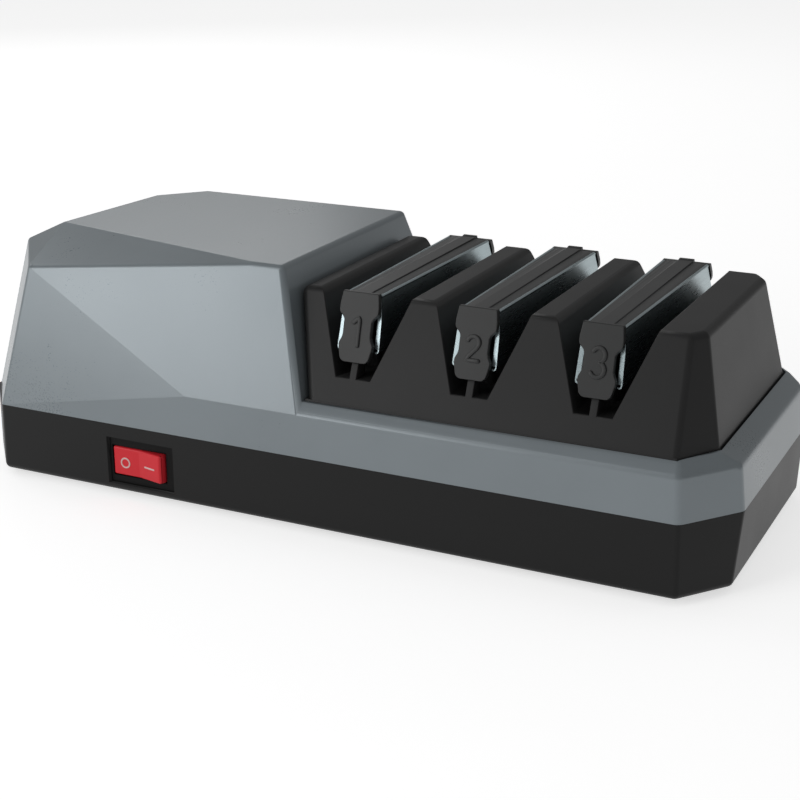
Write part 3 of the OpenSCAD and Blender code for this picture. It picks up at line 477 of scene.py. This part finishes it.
def pebble(planes, radius, inset=0.05):
    # Mesh of the convex body inside the planes with every edge rounded
    spots, loops = coreOf([(n, d - radius - inset) for n, d in planes])
    bm = bmesh.new()
    made = {}

    def vert(corner, direction, *key):
        if (corner, *key) not in made:
            made[(corner, *key)] = bm.verts.new((spots[corner] + radius * direction) * mm)
        return made[(corner, *key)]

    def arcVerts(corner, i, j):
        # Vertices of the rounding at one corner, from plane i to plane j
        first, second = sorted((i, j))
        start, stop = planes[first][0], planes[second][0]
        steps = round(math.degrees(angleOf(start, stop)) / arcStep["angle"])
        steps = max(arcStep["least"], min(arcStep["most"], steps))
        out = [vert(corner, start, first)]
        out += [vert(corner, slerp(start, stop, t / steps), first, second, t)
                for t in range(1, steps)]
        out.append(vert(corner, stop, second))
        return out if first == i else out[::-1]

    owner = {}
    for i, loop in loops.items():
        for k, corner in enumerate(loop):
            owner[(corner, loop[(k + 1) % len(loop)])] = i
        bm.faces.new([vert(corner, planes[i][0], i) for corner in loop])
    around = {}
    for (a, b), i in owner.items():
        j = owner[(b, a)]
        around.setdefault(a, {})[i] = j
        if i < j:
            near, far = arcVerts(a, i, j), arcVerts(b, i, j)
            for t in range(len(near) - 1):
                bm.faces.new((far[t], near[t], near[t + 1], far[t + 1]))
    for corner, following in around.items():
        i, edge, used = next(iter(following)), [], []
        while i not in used:
            used.append(i)
            edge += arcVerts(corner, i, following[i])[:-1]
            i = following[i]
        edge.reverse()
        direction = sum(planes[i][0] for i in used)
        direction = direction / np.linalg.norm(direction)
        center = bm.verts.new((spots[corner] + radius * direction) * mm)
        ways = [(np.array(v.co) / mm - spots[corner]) / radius for v in edge]
        ring = [bm.verts.new((spots[corner] + radius * slerp(direction, way, 0.5)) * mm)
                for way in ways]
        for k in range(len(edge)):
            m = (k + 1) % len(edge)
            bm.faces.new((edge[k], edge[m], ring[m], ring[k]))
            bm.faces.new((ring[k], ring[m], center))
    return meshOf(bm, "form")


def boxMesh(low, high):
    bm = bmesh.new()
    made = bmesh.ops.create_cube(bm, size=1)["verts"]
    low, high = Vector(low) * mm, Vector(high) * mm
    bmesh.ops.scale(bm, vec=high - low, verts=made)
    bmesh.ops.translate(bm, vec=(low + high) / 2, verts=made)
    return meshOf(bm, "block")


def combined(first, second, operation):
    pair = [bpy.data.objects.new("form", mesh) for mesh in (first, second)]
    for piece in pair:
        bpy.context.scene.collection.objects.link(piece)
    tool = pair[0].modifiers.new("tool", "BOOLEAN")
    tool.operation = operation
    tool.solver = "EXACT"
    tool.object = pair[1]
    whole = pair[0].evaluated_get(bpy.context.evaluated_depsgraph_get())
    result = bpy.data.meshes.new_from_object(whole)
    for piece in pair:
        bpy.data.objects.remove(piece)
    return result


def cadMesh(node):
    return meshOf(welded(cadData(node), "form"), node)


def shell(node, mesh, look, extra=None):
    # Puts a finished housing mesh in the place of its CAD node
    bm = flattened(mesh, "form")
    if extra:
        extra(bm)
    piece = shownAs(bm, node + "_look", look, 31)
    soft = piece.modifiers.new("flat_faces_stay_flat", "WEIGHTED_NORMAL")
    soft.keep_sharp = True
    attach(piece, bodyOf(node))
    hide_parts(node)


# ---- housings: corners in millimetres on the front half, which the rear mirrors

stages = {1: 13.0, 2: 51.5, 3: 90.0}  # X of the three notches
seam = {"fl": (-117, -56, 25.5), "lf": (-133, -38, 25.5), "fr": (119, -56, 25.5),
        "rf": (133, -38, 25.5)}
front = {"seam": (-56, 25.5), "shoulder": (-55.2, 39.3), "ledge": (-51.85, 43.3)}
hump = {"mid": (-75, 0, 53), "roundness": 2.0, "top": 82, "cutBelow": 20,
        "left": (-109.8, -45.3, 72), "right": (-13.5, -42.3, 82), "crease": (-48, -54, 43.5),
        "bevelLeft": (-112, -21.5, 82), "bevelRight": (-20, -42.3, 82),
        "bevelLow": (-126.8, -23.3, 75), "roofLeft": (-107.5, 30, 82),
        "roofRear": (-95, 44, 82), "rearTop": (0, 44, 82), "rearFoot": (0, 55.2, 39.3),
        "wallTop": (-13.5, 0, 82), "wallFoot": (-1.5, 0, 39.3)}
rim = {"mid": (66, 0, 32), "roundness": 3.2, "inset": 0.06, "fr": (118.2, -55.2, 39.3),
       "rf": (131.5, -38, 39.3), "ledge": 43.3, "ledgeCorner": (116.9, -51.85, 43.3),
       "end": (125.4, 0, 43.3), "from": -21.0, "cutBelow": 20}

frontLow = slopeAlongX(front["seam"], front["shoulder"], hump["mid"])
h, inside = hump, hump["mid"]
humpForm = pebble([
    facing(0, 0, 1, h["top"]), frontLow, *mirrored([frontLow]),
    facing(0, 0, -1, -h["cutBelow"]),
    plane(h["right"], h["left"], (0, *h["left"][1:]), inside),
    plane(h["left"], h["crease"], seam["fl"], inside),
    plane(h["left"], h["bevelLeft"], h["bevelRight"], inside),
    plane(h["left"], h["bevelLow"], h["bevelLeft"], inside),
    plane(h["left"], seam["fl"], h["bevelLow"], inside),
    plane(seam["lf"], flipped(seam["lf"]), h["bevelLow"], inside),
    plane(h["bevelLow"], h["bevelLeft"], h["roofLeft"], inside),
    plane(flipped(seam["lf"]), flipped(seam["fl"]), h["roofRear"], inside),
    plane(h["roofRear"], h["rearTop"], h["rearFoot"], inside),
    plane(h["right"], h["wallTop"], h["wallFoot"], inside)], h["roundness"])
r, inside = rim, rim["mid"]
half = [frontLow, plane(seam["fr"], seam["rf"], r["fr"], inside),
        slopeAlongX(front["shoulder"], front["ledge"], inside),
        plane(r["fr"], r["rf"], r["ledgeCorner"], inside)]
rimForm = pebble(half + mirrored(half) + [
    facing(0, 0, 1, r["ledge"]), facing(0, 0, -1, -r["cutBelow"]),
    facing(-1, 0, 0, -r["from"]),
    plane(seam["rf"], flipped(seam["rf"]), r["rf"], inside),
    plane(r["rf"], flipped(r["rf"]), r["end"], inside)], r["roundness"], r["inset"])
coverForm = combined(humpForm, rimForm, "UNION")
shell("top_cover", combined(cadMesh("top_cover"), coverForm, "INTERSECT"), coverLook)

base = {"mid": (0, 0, 12), "roundness": 2.2, "bottom": 2, "cutAbove": 32, "side": 56,
        "cornerLeft": (-117.5, -56, 2), "cornerRight": (119.5, -56, 2),
        "rightEnd": (131.5, 0, 2), "leftEnd": (-131.5, 0, 2)}
b, inside = base, base["mid"]
half = [plane(seam["fl"], seam["lf"], b["cornerLeft"], inside),
        plane(seam["fr"], seam["rf"], b["cornerRight"], inside)]
baseForm = pebble(half + mirrored(half) + [
    plane(seam["rf"], flipped(seam["rf"]), b["rightEnd"], inside),
    plane(seam["lf"], flipped(seam["lf"]), b["leftEnd"], inside),
    facing(0, -1, 0, b["side"]), facing(0, 1, 0, b["side"]),
    facing(0, 0, 1, b["cutAbove"]), facing(0, 0, -1, -b["bottom"])], b["roundness"])
shell("base_housing", combined(cadMesh("base_housing"), baseForm, "INTERSECT"), baseLook)

guide = {"mid": (51.5, 0, 59), "roundness": 2.7, "top": 75.3, "foot": 43.3, "footY": -51.05,
         "crestY": -37.45, "cutBelow": 38, "leftTop": -10.8, "leftFoot": -1.83,
         "rightTop": 118.1, "rightFoot": 124.6, "cornerTop": 114.7, "cornerFoot": 116.1,
         "cornerSide": -38.15, "flange": ((-45, -80, 30), (155, 80, 43.25))}
notch = {"floor": 50.8, "floorHalf": 5.8, "topHalf": 15.2, "crestLeft": 3.0,
         "crestRight": 1.0, "crestSteps": 6, "lip": 0.5, "lipSteps": 4, "overTop": 4,
         "outside": 6}
post = {"half": 1.15, "top": 55.8, "sunk": 0.4, "proud": 0.03, "rear": -41.6, "edge": 0.22}


def guideFront(z):
    run = (guide["crestY"] - guide["footY"]) / (guide["top"] - guide["foot"])
    return guide["footY"] + run * (z - guide["foot"])


def notchOutline(x, grow):
    # Outline of a notch in X and Z with its rounded crests, grown by a little
    slope = (notch["topHalf"] - notch["floorHalf"]) / (guide["top"] - notch["floor"])
    lean = math.atan(slope)
    low = notch["floor"] - grow
    foot = notch["floorHalf"] - slope * grow + grow / math.cos(lean)
    steps, sides = notch["crestSteps"], []
    for r in (notch["crestRight"], notch["crestLeft"]):
        t = r * math.tan((math.pi / 2 - lean) / 2)
        cx, cz = notch["topHalf"] + t, guide["top"] - r
        turn = [math.pi / 2 + (math.pi / 2 - lean) * (1 - k / steps) for k in range(steps + 1)]
        crest = [(cx + (r - grow) * math.cos(a), cz + (r - grow) * math.sin(a)) for a in turn]
        sides.append([(foot, low)] + crest + [(cx, guide["top"] + notch["overTop"])])
    right, left = sides
    return [(x + u, z) for u, z in right] + [(x - u, z) for u, z in reversed(left)]


def notchCutter(x):
    # Notch-shaped tool that widens with a rounded lip at the front and rear faces
    lip, steps, bm, rings = notch["lip"], notch["lipSteps"], bmesh.new(), []
    turn = [math.pi / 2 / steps * k for k in range(steps + 1)]
    depth = [(-notch["outside"], lip)]
    depth += [(lip * (1 - math.cos(a)), lip * (1 - math.sin(a)) + 0.02) for a in turn]
    for side in (-1, 1):
        for d, grow in (depth if side < 0 else reversed(depth)):
            rings.append([bm.verts.new((u * mm, side * -(guideFront(z) + d) * mm, z * mm))
                          for u, z in notchOutline(x, grow)])
    count = len(rings[0])
    for first, second in zip(rings, rings[1:]):
        for k in range(count):
            m = (k + 1) % count
            bm.faces.new((first[k], second[k], second[m], first[m]))
    bm.faces.new(rings[0])
    bm.faces.new(rings[-1][::-1])
    bmesh.ops.recalc_face_normals(bm, faces=bm.faces)
    return meshOf(bm, "notch")


def addPosts(bm):
    # The small posts in the mouths of the notches that the saddles' plates stand on
    quads = ((3, 2, 1, 0), (4, 5, 6, 7), (0, 1, 5, 4), (1, 2, 6, 5), (2, 3, 7, 6), (3, 0, 4, 7))
    for x in stages.values():
        for side in (-1, 1):
            verts = []
            for z in (notch["floor"] - post["sunk"], post["top"]):
                face = guideFront(z) + post["proud"]
                for u, y in ((-1, face), (1, face), (1, post["rear"]), (-1, post["rear"])):
                    spot = ((x + u * post["half"]) * mm, y * -side * mm, z * mm)
                    verts.append(bm.verts.new(spot))
            faces = [bm.faces.new([verts[k] for k in quad]) for quad in quads]
            bmesh.ops.recalc_face_normals(bm, faces=faces)
            edges = {edge for face in faces for edge in face.edges
                     if max(v.co.z for v in edge.verts) > 0.9 * post["top"] * mm}
            bmesh.ops.bevel(bm, geom=list(edges), offset=post["edge"] * mm, segments=3,
                            affect="EDGES", profile=0.5, clamp_overlap=True)


g, inside = guide, guide["mid"]
half = [slopeAlongX((g["footY"], g["foot"]), (g["crestY"], g["top"]), inside),
        plane((g["cornerFoot"], g["footY"], g["foot"]),
              (g["rightFoot"], g["cornerSide"], g["foot"]),
              (g["cornerTop"], g["crestY"], g["top"]), inside)]
guideForm = pebble(half + mirrored(half) + [
    facing(0, 0, 1, g["top"]), facing(0, 0, -1, -g["cutBelow"]),
    slopeAlongY((g["rightFoot"], g["foot"]), (g["rightTop"], g["top"]), inside),
    slopeAlongY((g["leftTop"], g["top"]), (g["leftFoot"], g["foot"]), inside)], g["roundness"])
guideForm = combined(guideForm, boxMesh(*g["flange"]), "UNION")
guideMesh = combined(cadMesh("guide_block"), guideForm, "INTERSECT")
for x in stages.values():
    guideMesh = combined(guideMesh, notchCutter(x), "DIFFERENCE")
shell("guide_block", guideMesh, guideLook, addPosts)
print("housings rounded")


# ---- saddles, numerals and guide springs

# "strip" is half the raised strip's width, and the rear plate sinks by "drop" beside it
saddle = {"top": 76.2, "front": 41.55, "thick": 2.1, "strip": 2.5, "drop": 0.6,
          "trimReach": (12, 60, 80), "edge": 0.26, "corner": 0.6, "plainBelow": 54.5,
          "platesFrom": 38, "cornersBelow": 74.2}


def saddleEdges(mid, run, angle):
    # Corners of the end plates' outline are rounder than the plates' own edges
    if mid.z < saddle["plainBelow"] or run.length < 0.3:
        return 0
    across = abs(run.y) > 0.8 * run.length and 1.2 < run.length < 3
    plateSide = abs(mid.y) > saddle["platesFrom"] and mid.z < saddle["cornersBelow"]
    if across and plateSide and 12 < abs(angle) < 75:
        return saddle["corner"]
    return saddle["edge"] if angle > 25 and run.length > 0.7 else 0


def saddleSkin(stage):
    # The rear plate's top sinks to the cap's edge on both sides of the raised strip
    x, s, mesh = stages[stage], saddle, cadMesh(f"saddle_{stage}")
    aside, behind, above = s["trimReach"]
    for side in (-1, 1):
        low, high = sorted((x + side * s["strip"], x + side * aside))
        trim = boxMesh((low, s["front"] - s["thick"], s["top"] - s["drop"]),
                       (high, behind, above))
        mesh = combined(mesh, trim, "DIFFERENCE")
    skin(f"saddle_{stage}", saddleLook, saddleEdges, mesh=mesh)


def leafEdges(mid, run, angle):
    return 0.08 if angle > 40 and run.length > 0.4 else 0


for stage in stages:
    saddleSkin(stage)
    for side in ("left", "right"):
        skin(f"guide_spring_{stage}_{side}", leafLook, leafEdges, segments=2)


# Section of a raised stroke as parts of its half width and height, and how its ends taper
strokeShape = ((1, -0.4), (1, 0.45), (0.93, 0.75), (0.8, 0.94), (0.62, 1), (-0.62, 1),
               (-0.8, 0.94), (-0.93, 0.75), (-1, 0.45), (-1, -0.4))
strokeEnd = (0.25, 0.55, 0.85, 0.97)


def ribbon(bm, points, width, height, place, closed=False):
    # Raised flat-topped stroke with round ends along points on a flat face
    half, rings, count = width / 2, [], len(points)

    def ring(p, along, scale):
        across = Vector((-along.y, along.x))
        made = []
        for out, up in strokeShape:
            w = p + across * (half * scale * out)
            lift = up if up < 0 else up * scale ** 0.5
            made.append(bm.verts.new(place(w.x, w.y, height * lift)))
        return made

    for i, p in enumerate(points):
        before = points[i - 1] if closed or i else p
        after = points[(i + 1) % count] if closed or i < count - 1 else p
        along = (after - before).normalized()
        if not closed and i == 0:
            for t in reversed(strokeEnd):
                rings.append(ring(p - along * half * t, along, math.sqrt(1 - t * t)))
        rings.append(ring(p, along, 1.0))
        if not closed and i == count - 1:
            for t in strokeEnd:
                rings.append(ring(p + along * half * t, along, math.sqrt(1 - t * t)))
    steps = len(strokeShape) - 1
    pairs = list(zip(rings, rings[1:])) + ([(rings[-1], rings[0])] if closed else [])
    for first, second in pairs:
        for k in range(steps):
            bm.faces.new((first[k], first[k + 1], second[k + 1], second[k]))
        bm.faces.new((first[steps], first[0], second[0], second[steps]))
    if not closed:
        bm.faces.new(rings[0])
        bm.faces.new(list(reversed(rings[-1])))


def line(*spots):
    return [Vector(spot) for spot in spots]


def arc(cx, cy, rx, ry, start, end, steps=14):
    turns = [math.radians(start + (end - start) * k / steps) for k in range(steps + 1)]
    return [Vector((cx + rx * math.cos(t), cy + ry * math.sin(t))) for t in turns]


# Strokes on the plate's face in millimetres from its foot
numerals = {
    1: [line((-1.25, 12.2), (-0.1, 13.35), (0.55, 13.7), (0.72, 13.2), (0.72, 5.3))],
    2: [arc(-0.1, 11.2, 1.85, 1.75, 165, -30)
        + line((1.0, 9.4), (-1.2, 7.0), (-1.85, 5.85), (-0.9, 5.85), (1.95, 5.85))],
    3: [arc(-0.1, 12.5, 1.9, 2.1, 150, -75) + arc(-0.1, 8.3, 2.15, 2.15, 80, -150)],
}
stroke = {"width": 1.25, "height": 0.5}
plateFace = {"top": Vector((0, -41.55, 76.2)), "lean": math.radians(16), "length": 21.22}


def onPlate(stage):
    lean = plateFace["lean"]
    up = Vector((0, math.sin(lean), math.cos(lean)))
    out = Vector((0, -math.cos(lean), math.sin(lean)))
    foot = plateFace["top"] - up * plateFace["length"] + Vector((stages[stage], 0, 0))
    return lambda u, v, h: (foot + Vector((u, 0, 0)) + up * v + out * h) * mm


for stage, strokes in numerals.items():
    bm = bmesh.new()
    for points in strokes:
        ribbon(bm, points, stroke["width"], stroke["height"], onPlate(stage))
    bmesh.ops.recalc_face_normals(bm, faces=bm.faces)
    sign = shownAs(bm, f"numeral_{stage}", saddleLook, 40)
    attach(sign, "housing")
print("saddles done")


# ---- switch

rocker = {"x": -62.7, "y": -51.5, "z": 12.5, "face": 3.4, "tilt": math.radians(12),
          "proudFrom": -53, "rim": 0.7, "edge": 0.2}
mark = {"row": -0.4, "circle": -5.4, "circleRadius": 1.6, "circleWidth": 0.55,
        "dash": (2.6, 4.6, 6.6), "dashWidth": 0.6, "height": 0.15}


def rockerEdges(mid, run, angle):
    if mid.y < rocker["proudFrom"] and angle > 25:
        return rocker["rim"]
    return rocker["edge"] if angle > 40 else 0


def onRocker(u, v, h):
    # Face of the rocker, its left half upright and its right half leaning out
    if u <= 0:
        y, x = -rocker["face"] - h, u
    else:
        y = -rocker["face"] - u * math.tan(rocker["tilt"]) - h * math.cos(rocker["tilt"])
        x = u + h * math.sin(rocker["tilt"])
    return Vector((rocker["x"] + x, rocker["y"] + y, rocker["z"] + v)) * mm


skin("switch_plate", plateLook, even(0.35, 40))
skin("switch_rocker", redLook, rockerEdges, segments=4)
bm = bmesh.new()
circle = arc(mark["circle"], mark["row"], mark["circleRadius"], mark["circleRadius"], 0, 360, 40)
dash = line(*((u, mark["row"]) for u in mark["dash"]))
ribbon(bm, circle[:-1], mark["circleWidth"], mark["height"], onRocker, closed=True)
ribbon(bm, dash, mark["dashWidth"], mark["height"], onRocker)
bmesh.ops.recalc_face_normals(bm, faces=bm.faces)
marks = shownAs(bm, "switch_marks", markLook, 40)
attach(marks, "switch_rocker")
print("switch done")


# ---- disks, drive and motor

disks = {"coarse": coarseLook, "fine": fineLook, "polish": polishLook}
for name, look in disks.items():
    for side in ("left", "right"):
        skin(f"{name}_disk_{side}", look, even(0))

for stage, kind in enumerate(disks, 1):
    # Each coil spring is cut at its stage's middle into a half for each disk, each with its own
    # mesh
    middle = stages[stage] * mm
    for side, way in (("left", -1), ("right", 1)):
        bm = bmesh.new()
        bm.from_mesh(cadMesh(f"disk_spring_{stage}"))
        bmesh.ops.bisect_plane(bm, geom=bm.verts[:] + bm.edges[:] + bm.faces[:], dist=1e-7,
                               plane_co=(middle, 0, 0), plane_no=(way, 0, 0),
                               clear_inner=True)
        bmesh.ops.holes_fill(bm, edges=bm.edges)
        half = shownAs(bm, f"disk_spring_{stage}_{side}", steelLook, 40)
        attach(half, "drive")
        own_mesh(half)
        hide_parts(f"disk_spring_{stage}")

# Node, material and width of its rounding in millimetres
for node, look, width in (
        ("drive_pins", steelLook, 0.15), ("arbor_shaft", steelLook, 0.0),
        ("rotor", coreLook, 0.0), ("cooling_fan", nylonLook, 0.15),
        ("stator_core", coreLook, 0.2), ("coil_bobbin", nylonLook, 0.25),
        ("coil_winding", wireLook, 0.5), ("fan_end_bracket", zincLook, 0.3),
        ("drive_end_bracket", zincLook, 0.3), ("end_bearing_holder", zincLook, 0.3),
        ("fan_end_bush", bronzeLook, 0.2), ("drive_end_bush", bronzeLook, 0.2),
        ("end_bearing_bush", bronzeLook, 0.2), ("motor_bolts", steelLook, 0.2),
        ("switch_terminals", brassLook, 0.1), ("terminal_block", nylonLook, 0.2),
        ("cord_grommet", rubberLook, 0.25), ("rubber_feet", rubberLook, 0.25),
        ("case_screws", steelLook, 0.3), ("short_screws", steelLook, 0.3)):
    paint(node, look, width)
print("inner pieces done")


# ---- table, lamps, room and camera

table = {"color": 0.86, "fleck": 0.01, "fleckSize": 40, "rough": 0.9, "specular": 0.1,
         "glow": 0.63, "reach": 30}


def gray(value):
    return (value,) * 3


def seenRays(look):
    # One for what the camera, gloss and glass see, zero for the light that falls on the part
    camera, glossy, clear = (
        look.node("LightPath", output=name)
        for name in ("Is Camera Ray", "Is Glossy Ray", "Is Transmission Ray"))
    return camera.joined("MAXIMUM", camera.joined("MAXIMUM", camera, glossy), clear)


t = table
floorLook = Look("tablePaint", roughness=t["rough"], specularIORLevel=t["specular"],
                 emissionStrength=1.0)
flecks = floorLook.noise(t["fleckSize"], 2)
floorLook.set(
    baseColor=floorLook.mix(flecks, gray(t["color"] - t["fleck"]), gray(t["color"])),
    emissionColor=floorLook.mix(seenRays(floorLook), gray(0), gray(t["glow"])))
bm = bmesh.new()
bm.faces.new([bm.verts.new((x * t["reach"], y * t["reach"], 0))
              for x, y in ((-1, -1), (1, -1), (1, 1), (-1, 1))])
shownAs(bm, "tableTop", floorLook.material)

# Soft boxes by bearing from the front and height angle in degrees, aimed at the part
softBox = {"far": 1.3, "size": (0.5, 0.4), "aim": (0, 0, 0.04)}
lamps = {"leftPanel": {"bearing": -45, "up": 14, "glow": 2.6},
         "frontPanel": {"bearing": -30, "up": 14, "glow": 3.1},
         "highPanel": {"bearing": -30, "up": 35, "glow": 2.1},
         "sidePanel": {"bearing": -100, "up": 35, "glow": 1.5},
         "rearPanel": {"bearing": -140, "up": 25, "glow": 1.4}}
for name, s in lamps.items():
    data = bpy.data.lights.new(name, "AREA")
    data.shape = "RECTANGLE"
    data.size, data.size_y = softBox["size"]
    data.energy = s["glow"] * math.pi * data.size * data.size_y
    lamp = bpy.data.objects.new(name, data)
    around, up = math.radians(s["bearing"]), math.radians(s["up"])
    way = Vector((math.sin(around) * math.cos(up), -math.cos(around) * math.cos(up),
                  math.sin(up)))
    lamp.location = Vector(softBox["aim"]) + way * softBox["far"]
    lamp.rotation_euler = (-way).to_track_quat("-Z", "Y").to_euler()
    bpy.context.scene.collection.objects.link(lamp)

room = {"Color": (1, 1, 1, 1), "Strength": 0.3}
world = bpy.data.worlds.new("room")
bpy.context.scene.world = world
world.use_nodes = True
for name, value in room.items():
    world.node_tree.nodes["Background"].inputs[name].default_value = value

# Fitted to the photograph's edges: spot in millimetres, angles in degrees
view = {"lens": 72.33, "sensor": 36, "reach": 100, "spot": (229.36, -458.27, 206.09),
        "turn": 26.0128, "down": 19.2687, "roll": -0.1786}
cameraData = bpy.data.cameras.new("photoCamera")
cameraData.lens = view["lens"]
cameraData.sensor_width = view["sensor"]
cameraData.clip_end = view["reach"]
camera = bpy.data.objects.new("photoCamera", cameraData)
camera.matrix_world = (Matrix.Translation(Vector(view["spot"]) * mm)
                       @ Matrix.Rotation(math.radians(view["turn"]), 4, "Z")
                       @ Matrix.Rotation(math.radians(90 - view["down"]), 4, "X")
                       @ Matrix.Rotation(math.radians(view["roll"]), 4, "Z"))
scene = bpy.context.scene
scene.collection.objects.link(camera)
scene.camera = camera
scene.view_settings.view_transform = "Standard"

print("scene ready")
